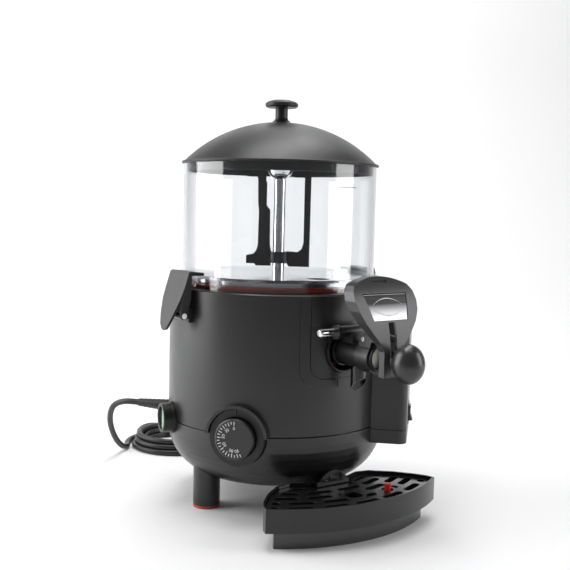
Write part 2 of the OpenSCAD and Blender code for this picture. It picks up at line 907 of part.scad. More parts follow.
// Front view of the shield: an arched head that narrows to a neck, moved in by an inset
module shield_outline(inset) {
    arch_r = 80.5;
    arch_top = tap_z + 83.5 - inset;
    half = [
        for (p = [[12.6, -16], [12.6, 10], [15.5, 17], [24, 27], [33, 39], [38.5, 50], [40.5, 60], [39.5, 69]])
            [p[0] - inset, tap_z + p[1]]];
    arch = [for (a = [26:-2:0]) [arch_r * sin(a), arch_top - arch_r * (1 - cos(a))]];
    right = concat(half, arch);
    left = [for (i = [len(right) - 1:-1:0]) [-right[i][0], right[i][1]]];
    polygon(concat(right, left));
}

// Side view of all that lies behind the shield's face, moved in by an inset
module behind_face(inset) {
    intersection() {
        translate([shield_front - shield_bend_r, shield_bend_z]) circle(shield_bend_r - inset, $fn = 180);
        translate([0, shield_bend_z]) square([300, 200]);
    }
    translate([120, tap_z - 40]) square([shield_front - inset - 120, shield_bend_z - tap_z + 40.01]);
}

module shield_block(outline_inset, face_inset) {
    intersection() {
        front_view(120, 215) shield_outline(outline_inset);
        side_view(120) behind_face(face_inset);
    }
}

module badge_outline(grow) {
    polygon([
        [-22 - grow, tap_z + 41 - grow], [22 + grow, tap_z + 41 - grow], [28.5 + grow, tap_z + 67 + grow],
        [-28.5 - grow, tap_z + 67 + grow]]);
}

// Skin that follows the shield's face between two depths
module face_skin(depth0, depth1, margin) {
    intersection() {
        front_view(150, 215) children();
        difference() {
            side_view(100) behind_face(depth0);
            side_view(101) behind_face(depth1);
        }
    }
}

module shield() {
    color("#45464a") difference() {
        shield_block(0, 0);
        shield_block(shield_t, shield_t);
        side_view(130) polygon([
            [100, 150], [197, 150], [197, tap_z + 8], [190, tap_z + 30], [176, tap_z + 58],
            [163, tap_z + 90], [100, tap_z + 90]]);
        face_skin(-5, 1.4) badge_outline(0.3);
        translate([-shield_slot_w / 2, -215, tap_z - 3]) cube([shield_slot_w, 25, 42]);
        face_skin(-5, 1) translate([-9, tap_z + 77]) square([18, 2.6]);
    }
}

module badge() {
    color("#9a9ca0") face_skin(0.6, 1.35) badge_outline(0);
}

// Lever with its pivot eye, a tail that works the piston and an arm that carries the knob
module tap_lever() {
    color("#2a2b2d") difference() {
        union() {
            side_view(lever_t) translate([lever_y, lever_z]) union() {
                circle(6.3);
                rotate(lever_rest) polygon([[0, -5], [28, -4.2], [40, -3.4], [40, 3.4], [28, 4.2], [0, 5]]);
                rotate(-90 - tail_back) {
                    translate([0, -2]) square([tail_len, 4]);
                    translate([tail_len, 0]) circle(5.2);
                }
            }
            translate([0, -lever_y, lever_z]) rotate([90 - lever_rest, 0, 0]) {
                translate([0, 0, 38]) cylinder(r = 3, h = egg_reach - 42);
            }
        }
        cross_bar(pivot_r + shaft_gap, -10, 10, lever_y, lever_z);
    }
}

module lever_knob() {
    color("#2e2f31") difference() {
        translate([0, -egg_y, lever_z + egg_reach * sin(lever_rest)]) rotate_extrude() polygon([
            for (a = [-90:6:90]) [egg_w / 2 * cos(a), egg_h / 2 * sin(a) * (a > 0 ? 1 : 0.96)]]);
        translate([0, -lever_y, lever_z]) rotate([90 - lever_rest, 0, 0]) {
            translate([0, 0, 36]) cylinder(r = 3.05, h = egg_reach - 39);
        }
    }
}

module tap_lock_pin() {
    color("#d0d2d5") {
        cross_bar(lock_r, -46, 25, lock_y, lock_z);
        translate([-46, -lock_y, lock_z]) rotate([0, -90, 0]) {
            cylinder(r1 = lock_r, r2 = lock_r - 1.2, h = 1.2, $fn = 96);
        }
    }
}

// ---------- drip tray ----------

// Plan of the tray: a front arc about the drum's axis and two wings beside the front foot
module tray_plan(inset) {
    d = 0.7 * inset;
    half = [
        [22 + d, tray_back + inset], [45, 101 + inset], [62 - d, 104 + inset], [83 - d, 120 + d],
        [100 - d, 139 + d], [108 - inset, 152], [111.5 - inset, 164], [111.5 - inset, 220]];
    back = [for (p = half) [p[0], -p[1]]];
    other = [for (i = [len(half) - 1:-1:0]) [-half[i][0], -half[i][1]]];
    intersection() {
        circle(tray_r - inset, $fn = 180);
        polygon(concat(back, other));
    }
}

module drip_tray() {
    color("#1c1d1f") at_side(tray_a) {
        difference() {
            union() {
                translate([0, 0, tray_step_z]) linear_extrude(tray_z - tray_step_z) tray_plan(0);
                linear_extrude(tray_step_z + 1) tray_plan(tray_base_in);
            }
            translate([0, 0, tray_step_z + tray_wall]) linear_extrude(40) tray_plan(tray_wall);
            translate([0, 0, tray_wall]) linear_extrude(40) tray_plan(tray_base_in + tray_wall);
        }
        grate_rests();
    }
}

// Small shelves inside the tray that hold the grate
module grate_rests() {
    rest_h = grate_z - tray_step_z - 1.3;
    for (side = [-1, 1]) {
        translate([side * 30 - 4, -tray_back - 8, tray_step_z + 1]) cube([8, 6, rest_h]);
        translate([side * 75 - 4, 22 - tray_r, tray_step_z + 1]) cube([8, 6, rest_h]);
    }
}

function out_at(a) = [sin(a), -cos(a)];
function slot_end(r, a, turn) = [
    for (b = [turn:36:turn + 180]) r * out_at(a) + slot_w / 2 * (cos(b) * out_at(a) + sin(b) * out_at(a + 90))];

// Slot on an arc about the drum's axis, with round ends
module arc_slot(r) {
    half = (slot_l - slot_w) / r * 90 / PI;
    polygon(concat(
        [for (k = [-1 / 3, 1 / 3]) (r + slot_w / 2) * out_at(k * half)], slot_end(r, half, 0),
        [for (k = [1 / 3, -1 / 3]) (r - slot_w / 2) * out_at(k * half)], slot_end(r, -half, 180)));
}

// Rows of slots, each row shifted against the one behind it
module grate_slots() {
    for (row = [0:len(row_r) - 1]) {
        pitch = (slot_l + slot_gap) / row_r[row] * 180 / PI;
        for (column = [-3:3]) {
            rotate(pitch * (column + (row % 2) / 4)) arc_slot(row_r[row]);
        }
    }
}

module tray_grate() {
    color("#17181a") at_side(tray_a) translate([0, 0, grate_z]) linear_extrude(grate_t) difference() {
        tray_plan(tray_wall + grate_gap);
        intersection() {
            tray_plan(8);
            difference() {
                grate_slots();
                translate([0, -drain_y]) circle(drain_r + 4);
                translate([float_x, -float_y]) circle(float_hole_r + 4);
                translate([-30, -tray_back - 18]) square([60, 20]);
            }
        }
        translate([0, -drain_y]) circle(drain_r);
        translate([float_x, -float_y]) circle(float_hole_r);
        translate([-clip_half_w - 2.5, -tray_back - 13]) square([2 * clip_half_w + 5, 20]);
    }
}

// Float that rises through the grate when the tray is full
module tray_float() {
    color("#d8402c") at_side(tray_a) translate([float_x, -float_y, 0]) {
        translate([0, 0, tray_wall + 0.3]) cylinder(r = 9, h = 9);
        translate([0, 0, tray_wall + 8]) cylinder(r = float_stem_r, h = grate_z);
    }
}

// Half-round tab that stands in the tray behind the grate's notch, against the front foot
module tray_clip() {
    foot = tray_step_z + tray_wall + 0.1;
    color("#2a2b2d") at_side(tray_a) difference() {
        union() {
            translate([-clip_half_w, -tray_back - 10, foot]) cube([2 * clip_half_w, 7.4, tray_z + 2 - foot]);
            intersection() {
                outwards(tray_back + 7, grate_z) cylinder(r = 20, h = 3);
                translate([-clip_half_w, -tray_back - 12, grate_z]) cube([2 * clip_half_w, 10, 30]);
            }
        }
        for (side = [-1, 1]) {
            outwards(tray_back + 9, 0) translate([side * 7.5, grate_z + 12.5, 0]) cylinder(r = 3.2, h = 4);
        }
    }
}

// ---------- mains lead ----------

module strain_relief() {
    color("#151618") at_side(gland_a) {
        difference() {
            outwards(119, gland_z) cylinder(r = 8.6, h = 13);
            cylinder(r = body_r + fit_gap, h = 200);
        }
        outwards(118, gland_z) cylinder(r = 5, h = 12);
        outwards(131, gland_z) cylinder(r1 = 7.6, r2 = lead_r + 0.9, h = gland_tip - 131, $fn = 96);
        for (i = [0:7]) {
            outwards(135 + i * 6, gland_z) cylinder(r = 7.8 - i * 0.38, h = 3.2);
        }
    }
}

// Directions along a route, and across it
function along(route, i) =
    let (d = route[min(i + 1, len(route) - 1)] - route[max(i - 1, 0)]) d / norm(d);
function across(d) = let (s = cross([0, 0, 1], d)) s / norm(s);
function lead_ring(route, i, sides) =
    let (d = along(route, i), s = across(d), t = cross(d, s))
    [for (k = [0:sides - 1]) route[i] + lead_r * (cos(k * 360 / sides) * s + sin(k * 360 / sides) * t)];

// Smooth curve through a route's points, with a few steps between each pair
function curve_point(a, b, c, d, t) =
    0.5 * (2 * b + (c - a) * t + (2 * a - 5 * b + 4 * c - d) * t * t + (3 * b - a - 3 * c + d) * t * t * t);
function smooth(route, steps) = [
    for (i = [0:len(route) - 2])
        for (k = [0:steps - 1])
            curve_point(route[max(i - 1, 0)], route[i], route[i + 1], route[min(i + 2, len(route) - 1)],
                k / steps),
    route[len(route) - 1]];

// Tube of the lead's own thickness along a route
module lead_tube(route, sides = 10) {
    points = smooth(route, 3);
    n = len(points);
    rings = [for (i = [0:n - 1]) each lead_ring(points, i, sides)];
    walls = [
        for (i = [0:n - 2])
            for (k = [0:sides - 1])
                let (a = i * sides + k, b = i * sides + (k + 1) % sides)
                [a, a + sides, b + sides, b]];
    ends = [[for (k = [0:sides - 1]) k], [for (k = [sides - 1:-1:0]) (n - 1) * sides + k]];
    polyhedron(rings, concat(walls, ends), convexity = 6);
}

module mains_lead() {
    color("#131415") lead_tube(lead_route);
}

module lead_coil() {
    color("#131415") translate([coil_x, coil_y, 0]) ring(coil_r, coil_r - coil_w, coil_h);
}

module lead_tail() {
    color("#131415") lead_tube(tail_route);
}

module mains_plug() {
    color("#151618") translate(tail_route[len(tail_route) - 1]) rotate([0, 90, plug_turn]) {
        cylinder(r1 = 6, r2 = 8, h = 18, $fn = 96);
        translate([0, 0, 16]) cylinder(r1 = 8, r2 = 18.5, h = 12, $fn = 96);
        translate([0, 0, 28]) cylinder(r = 18.5, h = 13);
        for (side = [-1, 1]) {
            translate([0, side * 9.5, 40]) cylinder(r = 2.4, h = 19);
        }
    }
}

placed() housing_shell();
placed() lower_pan();
placed() feet();
placed() foot_pads();
placed() base_cover();
placed() cover_screws();
placed() panel_frame();
placed() tap_panel();
placed() tap_socket();
placed() water_bath();
placed() heated_floor();
placed() outlet_elbow();
placed() heating_element();
placed() gearmotor();
placed() motor_bracket();
placed() drive_tube();
placed() tube_cup();
placed() drive_shaft();
placed() shaft_bushes();
placed() agitator();
placed() bowl();
placed() bowl_seal();
placed() lid();
placed() lid_knob();
placed() latch_brackets();
placed() latch_pins();
placed() latch_left();
placed() latch_right();
placed() thermostat_ring();
placed() thermostat_body();
placed() thermostat_knob();
placed() switch_bezel();
placed() switch_body();
placed() power_rocker();
placed() box_shell();
placed() box_cap();
placed() box_board();
placed() box_rocker();
placed() tap_barrel();
placed() tap_seal();
placed() tap_piston();
placed() piston_rings();
placed() spout();
placed() lever_bracket();
placed() lever_spring();
placed() shield();
placed() badge();
placed() lever_pin();
placed() tap_lever();
placed() lever_knob();
placed() tap_lock_pin();
placed() drip_tray();
placed() tray_grate();
placed() tray_float();
placed() tray_clip();
placed() strain_relief();
placed() mains_lead();
placed() lead_coil();
placed() lead_tail();
placed() mains_plug();
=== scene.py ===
"""Heated sauce dispenser: materials, marks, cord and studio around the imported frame. Metres throughout."""
import math

import bmesh
import bpy
from mathutils import Matrix, Vector


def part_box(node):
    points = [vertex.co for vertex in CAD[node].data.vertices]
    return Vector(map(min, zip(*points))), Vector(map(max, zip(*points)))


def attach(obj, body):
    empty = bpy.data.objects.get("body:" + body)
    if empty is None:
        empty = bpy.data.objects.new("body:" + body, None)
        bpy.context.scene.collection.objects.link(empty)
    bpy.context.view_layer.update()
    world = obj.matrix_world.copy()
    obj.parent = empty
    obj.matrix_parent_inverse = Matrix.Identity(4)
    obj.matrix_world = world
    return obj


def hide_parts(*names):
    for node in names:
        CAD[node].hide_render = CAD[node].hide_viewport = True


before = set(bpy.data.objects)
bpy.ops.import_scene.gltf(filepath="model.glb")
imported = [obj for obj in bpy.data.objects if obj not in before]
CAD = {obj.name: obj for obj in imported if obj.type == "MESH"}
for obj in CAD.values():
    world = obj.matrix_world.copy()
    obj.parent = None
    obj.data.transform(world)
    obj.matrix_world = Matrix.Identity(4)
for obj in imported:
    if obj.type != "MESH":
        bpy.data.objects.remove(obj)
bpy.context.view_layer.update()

# ---------------------------------------------------------------- places taken from the frame

bowl_low, bowl_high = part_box("bowl")
AXIS = Vector(((bowl_low.x + bowl_high.x) / 2, (bowl_low.y + bowl_high.y) / 2, 0))
# Diameter of the mains lead, and outer radius of the bowl's wall
LEAD_D = 0.0076
BOWL_R = 0.112
# Angles of the power switch and the thermostat round the drum
SWITCH_A = math.radians(-104)
DIAL_A = math.radians(-53)
# Height of the thermostat's centre, and distance of its knob's face from the drum's axis
DIAL_Z = 0.097
DIAL_FACE = 0.1377
# Height of the step in the drip tray's wall, under which the tray carries a painted reflection
TRAY_STEP_Z = 0.020


def outward(angle):
    """Direction out of the drum at an angle counted from the tap side towards +X."""
    return Vector((math.sin(angle), -math.cos(angle), 0))


def on_drum(angle, reach, z):
    return AXIS + outward(angle) * reach + Vector((0, 0, z))


def facing(point, out, up=Vector((0, 0, 1))):
    """Places a flat drawing: x to the right and y up as seen from outside, z outwards."""
    out = out.normalized()
    right = up.cross(out).normalized()
    up = out.cross(right)
    m = Matrix((right, up, out)).transposed().to_4x4()
    m.translation = point
    return m


# ---------------------------------------------------------------- materials

class Shader:
    """A Principled material whose colour, roughness and bump come from noise in object space."""

    def __init__(self, name, colour, rough, metal=0.0):
        self.material = bpy.data.materials.new(name)
        self.material.use_nodes = True
        self.nodes = self.material.node_tree.nodes
        self.links = self.material.node_tree.links
        self.bsdf = self.nodes["Principled BSDF"]
        self.colour = colour
        self.bsdf.inputs["Base Color"].default_value = (*colour, 1)
        self.bsdf.inputs["Roughness"].default_value = rough
        self.bsdf.inputs["Metallic"].default_value = metal
        self.rough = rough
        self.coords = self.nodes.new("ShaderNodeTexCoord").outputs["Object"]
        self.height = None

    def put(self, **values):
        for name, value in values.items():
            self.bsdf.inputs[name.replace("_", " ")].default_value = value
        return self

    def mapped(self, stretch):
        node = self.nodes.new("ShaderNodeMapping")
        node.inputs["Scale"].default_value = stretch
        self.links.new(self.coords, node.inputs["Vector"])
        return node.outputs["Vector"]

    def noise(self, scale, detail=3.0, stretch=None):
        node = self.nodes.new("ShaderNodeTexNoise")
        node.inputs["Scale"].default_value = scale
        node.inputs["Detail"].default_value = detail
        self.links.new(self.mapped(stretch) if stretch else self.coords, node.inputs["Vector"])
        return node.outputs["Fac"]

    def remap(self, value, low, high, from_low=0.3, from_high=0.7):
        node = self.nodes.new("ShaderNodeMapRange")
        limits = {"From Min": from_low, "From Max": from_high, "To Min": low, "To Max": high}
        for name, number in limits.items():
            node.inputs[name].default_value = number
        self.links.new(value, node.inputs["Value"])
        return node.outputs["Result"]

    def blend(self, factor, first, second):
        node = self.nodes.new("ShaderNodeMix")
        node.data_type = "RGBA"
        self.links.new(factor, node.inputs["Factor"])
        for socket, value in (("A", first), ("B", second)):
            target = [s for s in node.inputs if s.name == socket and s.type == "RGBA"][0]
            if isinstance(value, tuple):
                target.default_value = (*value, 1)
            else:
                self.links.new(value, target)
        return [s for s in node.outputs if s.type == "RGBA"][0]

    def paint(self, colour):
        self.links.new(colour, self.bsdf.inputs["Base Color"])
        return self

    def mottle(self, scale, amount, stretch=None):
        """Slow change of the colour's lightness."""
        dark = tuple(c * (1 - amount) for c in self.colour)
        light = tuple(min(1, c * (1 + amount)) for c in self.colour)
        factor = self.remap(self.noise(scale, 4, stretch), 0, 1)
        self.tone = self.blend(factor, dark, light)
        return self.paint(self.tone)

    def smears(self, scale, amount, stretch=None):
        """Change of the roughness, as handling and cleaning leave it."""
        value = self.remap(self.noise(scale, 5, stretch), self.rough - amount, self.rough + amount)
        self.links.new(value, self.bsdf.inputs["Roughness"])
        return self

    def grain(self, scale, strength, depth=0.0001, stretch=None, edge=0.0):
        """Fine bump, on edges that are rounded by a small radius."""
        bump = self.nodes.new("ShaderNodeBump")
        bump.inputs["Strength"].default_value = strength
        bump.inputs["Distance"].default_value = depth
        self.links.new(self.noise(scale, 2, stretch), bump.inputs["Height"])
        if edge:
            bevel = self.nodes.new("ShaderNodeBevel")
            bevel.samples = 4
            bevel.inputs["Radius"].default_value = edge
            self.links.new(bevel.outputs["Normal"], bump.inputs["Normal"])
        self.links.new(bump.outputs["Normal"], self.bsdf.inputs["Normal"])
        return self

    def worn_edges(self, radius, lighter):
        """Edges that are rubbed a little lighter."""
        bevel = self.nodes.new("ShaderNodeBevel")
        bevel.samples = 4
        bevel.inputs["Radius"].default_value = radius
        geometry = self.nodes.new("ShaderNodeNewGeometry")
        dot = self.nodes.new("ShaderNodeVectorMath")
        dot.operation = "DOT_PRODUCT"
        self.links.new(bevel.outputs["Normal"], dot.inputs[0])
        self.links.new(geometry.outputs["Normal"], dot.inputs[1])
        edge = self.remap(dot.outputs["Value"], 0.6, 0.0, 0.80, 0.99)
        return self.paint(self.blend(edge, self.tone, lighter))


def black(name, tone, rough, scale=2400, strength=0.25, edge=0.0006, coat=0.0, wear=0.05):
    """Black or grey moulded plastic or paint."""
    s = Shader(name, (tone, tone * 1.01, tone * 1.03), rough)
    s.mottle(9, 0.10).smears(22, 0.05).grain(scale, strength, edge=edge)
    if wear:
        s.worn_edges(0.0007, (tone + wear, tone + wear, tone + wear))
    if coat:
        s.put(Coat_Weight=coat, Coat_Roughness=0.22)
    return s.material


def steel(name, tone, rough, stretch=(1, 1, 60), scale=160, strength=0.12):
    """Steel with a drawn or turned grain along one direction."""
    s = Shader(name, (tone, tone * 1.005, tone * 1.015), rough, metal=1.0)
    s.mottle(30, 0.06).smears(scale, rough * 0.4, stretch)
    s.grain(scale * 4, strength, 0.00004, stretch, edge=0.0003)
    return s.material


def rubber(name, colour, rough=0.6):
    s = Shader(name, colour, rough)
    s.mottle(40, 0.14).smears(60, 0.08).grain(3500, 0.3, edge=0.0004)
    return s.material


def brass():
    material = rubber("thermostat_brass", (0.55, 0.40, 0.14), 0.35)
    material.node_tree.nodes["Principled BSDF"].inputs["Metallic"].default_value = 0.9
    return material


def clear(name, tint, edge_shade_tint, rough, ior):
    """Clear plastic whose colour turns greyer where the wall is seen edge-on, a painted shade along its
    edges.
    """
    s = Shader(name, tint, rough)
    s.put(IOR=ior, Transmission_Weight=1.0).smears(14, rough * 0.8).grain(26, 0.08, 0.0002, (1, 1, 0.3))
    # Painted shade: the colour blends to the darker second tint where the wall is seen edge-on
    weight = s.nodes.new("ShaderNodeLayerWeight")
    weight.inputs["Blend"].default_value = 0.5
    painted_edge_shade = s.remap(weight.outputs["Facing"], 0, 1, 0.55, 0.97)
    return s.paint(s.blend(painted_edge_shade, tint, edge_shade_tint)).material


def two_tone_lens():
    """Rocker lens: milky half and green half, parted along its middle."""
    s = Shader("rocker_lens", (0.1, 0.42, 0.2), 0.25)
    side = outward(SWITCH_A + math.pi / 2)
    split = s.nodes.new("ShaderNodeVectorMath")
    split.operation = "DOT_PRODUCT"
    s.links.new(s.coords, split.inputs[0])
    split.inputs[1].default_value = side
    middle = on_drum(SWITCH_A, 0, 0).dot(side)
    half = s.remap(split.outputs["Value"], 0, 1, middle - 0.0002, middle + 0.0002)
    cloud = s.remap(s.noise(260, 3), 0, 1)
    milk = s.blend(cloud, (0.60, 0.60, 0.52), (0.72, 0.71, 0.64))
    green = s.blend(cloud, (0.06, 0.33, 0.15), (0.12, 0.48, 0.24))
    s.paint(s.blend(half, milk, green)).smears(60, 0.08).grain(900, 0.15)
    return s.put(Subsurface_Weight=0.15, Coat_Weight=0.4, Coat_Roughness=0.1).material


def faded_plate():
    """Badge plate: dark at the top, silver at the bottom, with a fine sideways brushing."""
    s = Shader("badge_plate", (0.4, 0.4, 0.42), 0.3, metal=0.6)
    low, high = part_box("badge")
    split = s.nodes.new("ShaderNodeSeparateXYZ")
    s.links.new(s.coords, split.inputs[0])
    rise = s.remap(split.outputs["Z"], 1, 0, low.z, low.z + 0.62 * (high.z - low.z))
    s.paint(s.blend(rise, (0.012, 0.012, 0.013), (0.62, 0.62, 0.64)))
    return s.smears(500, 0.06, (0.05, 1, 1)).grain(900, 0.1, 0.00004, (0.05, 1, 1)).material


def tray_plastic():
    """Tray: glossy black over its step, plainer and greyer under it, where the grey is a painted reflection
    on the lower curved wall.
    """
    s = Shader("tray_plastic", (0.012, 0.012, 0.013), 0.2)
    split = s.nodes.new("ShaderNodeSeparateXYZ")
    s.links.new(s.coords, split.inputs[0])
    # Painted reflection: the wall under the step is coloured lighter grey
    painted_reflection_under_step = s.remap(split.outputs["Z"], 1, 0, TRAY_STEP_Z - 0.0005, TRAY_STEP_Z + 0.0005)
    s.tone = s.blend(painted_reflection_under_step, (0.008, 0.008, 0.009), (0.060, 0.060, 0.060))
    s.smears(20, 0.06).grain(2600, 0.1, edge=0.0007).worn_edges(0.0008, (0.07, 0.07, 0.07))
    return s.material


MATERIALS = {
    "drum": black("drum_paint", 0.009, 0.36, 1500, 0.45, coat=0.25),
    "pan": black("pan_paint", 0.011, 0.36, 1500, 0.45, coat=0.25),
    "panel": black("panel_paint", 0.010, 0.33, 1500, 0.35, coat=0.2),
    "socket": black("socket_plastic", 0.007, 0.42),
    "tap": black("tap_plastic", 0.008, 0.30, coat=0.2),
    "latch": black("latch_plastic", 0.026, 0.36, 2000, 0.35),
    "shield": black("shield_plastic", 0.030, 0.30, 2000, 0.3, coat=0.15),
    "knob": black("egg_plastic", 0.022, 0.30, 2200, 0.2, coat=0.2, wear=0),
    "dial": black("dial_plastic", 0.010, 0.32, coat=0.2),
    "lid": black("lid_plastic", 0.008, 0.40, 1800, 0.35, wear=0.02),
    "agitator": black("agitator_plastic", 0.008, 0.4),
    "rocker": black("rocker_plastic", 0.010, 0.25, coat=0.4),
    "grate": black("grate_plastic", 0.012, 0.18, 2600, 0.1, wear=0.10, coat=0.3),
    "tray": tray_plastic(),
    "cord": black("cord_sheath", 0.012, 0.40, 1200, 0.2, edge=0, wear=0),
    "plug": black("plug_rubber", 0.012, 0.46, 1800, 0.35),
    "red": rubber("red_silicone", (0.50, 0.06, 0.035)),
    "float": rubber("float_plastic", (0.62, 0.035, 0.02), 0.25),
    # The second colour of the bowl and of the spout is painted shade where their walls are seen edge-on
    "clear": clear("clear_bowl", (0.93, 0.94, 0.95), (0.30, 0.31, 0.33), 0.02, 1.56),
    "smoked": clear("smoked_spout", (0.10, 0.10, 0.105), (0.05, 0.05, 0.05), 0.05, 1.50),
    "sheet": steel("steel_sheet", 0.62, 0.16, (1, 1, 1), 60),
    "bright": steel("bright_steel", 0.82, 0.07, (1, 1, 40), 120, 0.05),
    "wire": steel("spring_steel", 0.55, 0.22),
    "motor": steel("cast_motor", 0.32, 0.45, (1, 1, 1), 90, 0.4),
    "element": steel("element_tube", 0.22, 0.4, (1, 1, 1), 90, 0.3),
    "white": rubber("white_plastic", (0.72, 0.70, 0.65), 0.4),
    "brass": brass(),
    "board": rubber("circuit_board", (0.03, 0.16, 0.07), 0.35),
    "lens": two_tone_lens(),
    "badge": faded_plate(),
    # The pale white serves the dial's ticks and figures, and also the painted highlight lines on the badge's
    # edges
    "print_and_highlight": rubber("white_print_and_painted_highlight", (0.75, 0.75, 0.73), 0.5),
    "mark": rubber("printed_grey", (0.10, 0.10, 0.10), 0.5),
}

# Material of each CAD node
WEARS = {
    "drum": ["housing_shell", "box_shell"],
    "pan": ["lower_pan", "feet", "box_cap", "base_cover"],
    "panel": ["panel_frame", "tap_panel", "latch_brackets"],
    "socket": ["tap_socket", "thermostat_ring", "switch_bezel"],
    "tap": ["tap_barrel", "lever_bracket", "tap_lever"],
    "latch": ["latch_left", "latch_right"],
    "shield": ["shield"],
    "knob": ["lever_knob"],
    "dial": ["thermostat_knob"],
    "lid": ["lid", "lid_knob"],
    "agitator": ["agitator"],
    "rocker": ["box_rocker"],
    "grate": ["tray_grate", "tray_clip"],
    "tray": ["drip_tray"],
    "cord": ["strain_relief", "mains_lead", "lead_coil", "lead_tail"],
    "plug": ["mains_plug"],
    "red": ["foot_pads", "bowl_seal", "tap_seal", "piston_rings"],
    "float": ["tray_float"],
    "clear": ["bowl"],
    "smoked": ["spout"],
    "sheet": ["water_bath", "heated_floor", "outlet_elbow", "motor_bracket", "cover_screws"],
    "bright": ["drive_tube", "tube_cup", "drive_shaft", "tap_lock_pin", "latch_pins", "lever_pin"],
    "wire": ["lever_spring"],
    "motor": ["gearmotor"],
    "element": ["heating_element"],
    "white": ["tap_piston", "shaft_bushes", "switch_body"],
    "brass": ["thermostat_body"],
    "board": ["box_board"],
    "lens": ["power_rocker"],
    "badge": ["badge"],
}


def dress(piece, material):
    piece.data.materials.clear()
    piece.data.materials.append(MATERIALS[material])


for material, nodes in WEARS.items():
    for node in nodes:
        dress(CAD[node], material)

# ---------------------------------------------------------------- small mesh builders


def add_piece(name, mesh, material, body):
    piece = bpy.data.objects.new(name, mesh)
    bpy.context.scene.collection.objects.link(piece)
    dress(piece, material)
    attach(piece, body)
    return piece


def mesh_from(bm, name, smooth=True):
    mesh = bpy.data.meshes.new(name)
    bmesh.ops.recalc_face_normals(bm, faces=bm.faces)
    bm.to_mesh(mesh)
    bm.free()
    for polygon in mesh.polygons:
        polygon.use_smooth = smooth
    if smooth:
        mesh.set_sharp_from_angle(angle=math.radians(35))
    return mesh


def add_bar(bm, place, x0, x1, y0, y1, z0, z1):
    """Box given by its sides, in the drawing that place puts down."""
    corners = [bm.verts.new(place @ Vector((x, y, z))) for z in (z0, z1) for y in (y0, y1) for x in (x0, x1)]
    for a, b, c, d in ((0, 2, 3, 1), (4, 5, 7, 6), (0, 1, 5, 4), (2, 6, 7, 3), (0, 4, 6, 2), (1, 3, 7, 5)):
        bm.faces.new([corners[i] for i in (a, b, c, d)])


def add_tube(bm, points, radius, sides=12, taper=None):
    """Closed tube along a line of points; taper gives a radius for each point."""
    rings = []
    side = None
    for i, point in enumerate(points):
        ahead = (points[min(i + 1, len(points) - 1)] - points[max(i - 1, 0)]).normalized()
        if side is None:
            side = ahead.orthogonal().normalized()
        side = (side - ahead * side.dot(ahead)).normalized()
        other = ahead.cross(side)
        r = taper[i] if taper else radius
        rings.append([
            bm.verts.new(point + r * (math.cos(a) * side + math.sin(a) * other))
            for a in (2 * math.pi * k / sides for k in range(sides))])
    for a, b in zip(rings, rings[1:]):
        for k in range(sides):
            bm.faces.new((a[k], a[(k + 1) % sides], b[(k + 1) % sides], b[k]))
    bm.faces.new(rings[0])
    bm.faces.new(list(reversed(rings[-1])))


def add_lathe(bm, place, outline, sides=64):
    """Solid of revolution about the drawing's z, from (radius, z) pairs that start and end on the axis."""
    rings = []
    for radius, z in outline:
        if radius < 1e-6:
            rings.append([bm.verts.new(place @ Vector((0, 0, z)))])
        else:
            rings.append([
                bm.verts.new(place @ Vector((radius * math.cos(a), radius * math.sin(a), z)))
                for a in (2 * math.pi * k / sides for k in range(sides))])
    for a, b in zip(rings, rings[1:]):
        for k in range(sides):
            n = (k + 1) % sides
            if len(a) == 1:
                bm.faces.new((a[0], b[n], b[k]))
            elif len(b) == 1:
                bm.faces.new((a[k], a[n], b[0]))
            else:
                bm.faces.new((a[k], a[n], b[n], b[k]))


def add_figure(bm, text, place, size, thickness):
    """Raised figure, centred where place puts it."""
    curve = bpy.data.curves.new("figure", "FONT")
    curve.body = text
    curve.size = size
    curve.extrude = thickness / 2
    curve.resolution_u = 3
    curve.align_x = "CENTER"
    curve.align_y = "CENTER"
    helper = bpy.data.objects.new("figure", curve)
    mesh = bpy.data.meshes.new_from_object(helper)
    mesh.transform(place @ Matrix.Translation((0, 0, thickness / 2)))
    bm.from_mesh(mesh)
    bpy.data.objects.remove(helper)
    bpy.data.curves.remove(curve)
    bpy.data.meshes.remove(mesh)


# ---------------------------------------------------------------- camera

# The camera stands 35 degrees round from the tap, towards -X
PHOTO_TURN = math.radians(35)
# Its distance from the drum's axis and its height, in metres
CAMERA_REACH = 1.0577
CAMERA_Z = 0.3421
# Its tilt down, turn to the right and roll, in radians, and its focal length in millimetres
PITCH, YAW, ROLL = 0.087, 0.008, 0.023
LENS = 56.84


def make_camera():
    """Camera at the photograph's viewing angle."""
    turn = Matrix.Rotation(-PHOTO_TURN, 3, "Z")
    right = Vector((math.cos(YAW), -math.sin(YAW), 0))
    ahead = Vector((math.sin(YAW), math.cos(YAW), 0))
    up = math.cos(PITCH) * Vector((0, 0, 1)) + math.sin(PITCH) * ahead
    ahead = math.cos(PITCH) * ahead - math.sin(PITCH) * Vector((0, 0, 1))
    rolled = math.cos(ROLL) * right + math.sin(ROLL) * up
    up = math.cos(ROLL) * up - math.sin(ROLL) * right
    axes = [turn @ v for v in (rolled, up, -ahead)]
    matrix = Matrix(axes).transposed().to_4x4()
    matrix.translation = AXIS + turn @ Vector((0, -CAMERA_REACH, CAMERA_Z))
    data = bpy.data.cameras.new("camera")
    data.lens = LENS
    data.sensor_width = 36
    data.clip_start = 0.05
    camera = bpy.data.objects.new("camera", data)
    camera.matrix_world = matrix
    bpy.context.scene.collection.objects.link(camera)
    bpy.context.scene.camera = camera


make_camera()

# ---------------------------------------------------------------- mains lead

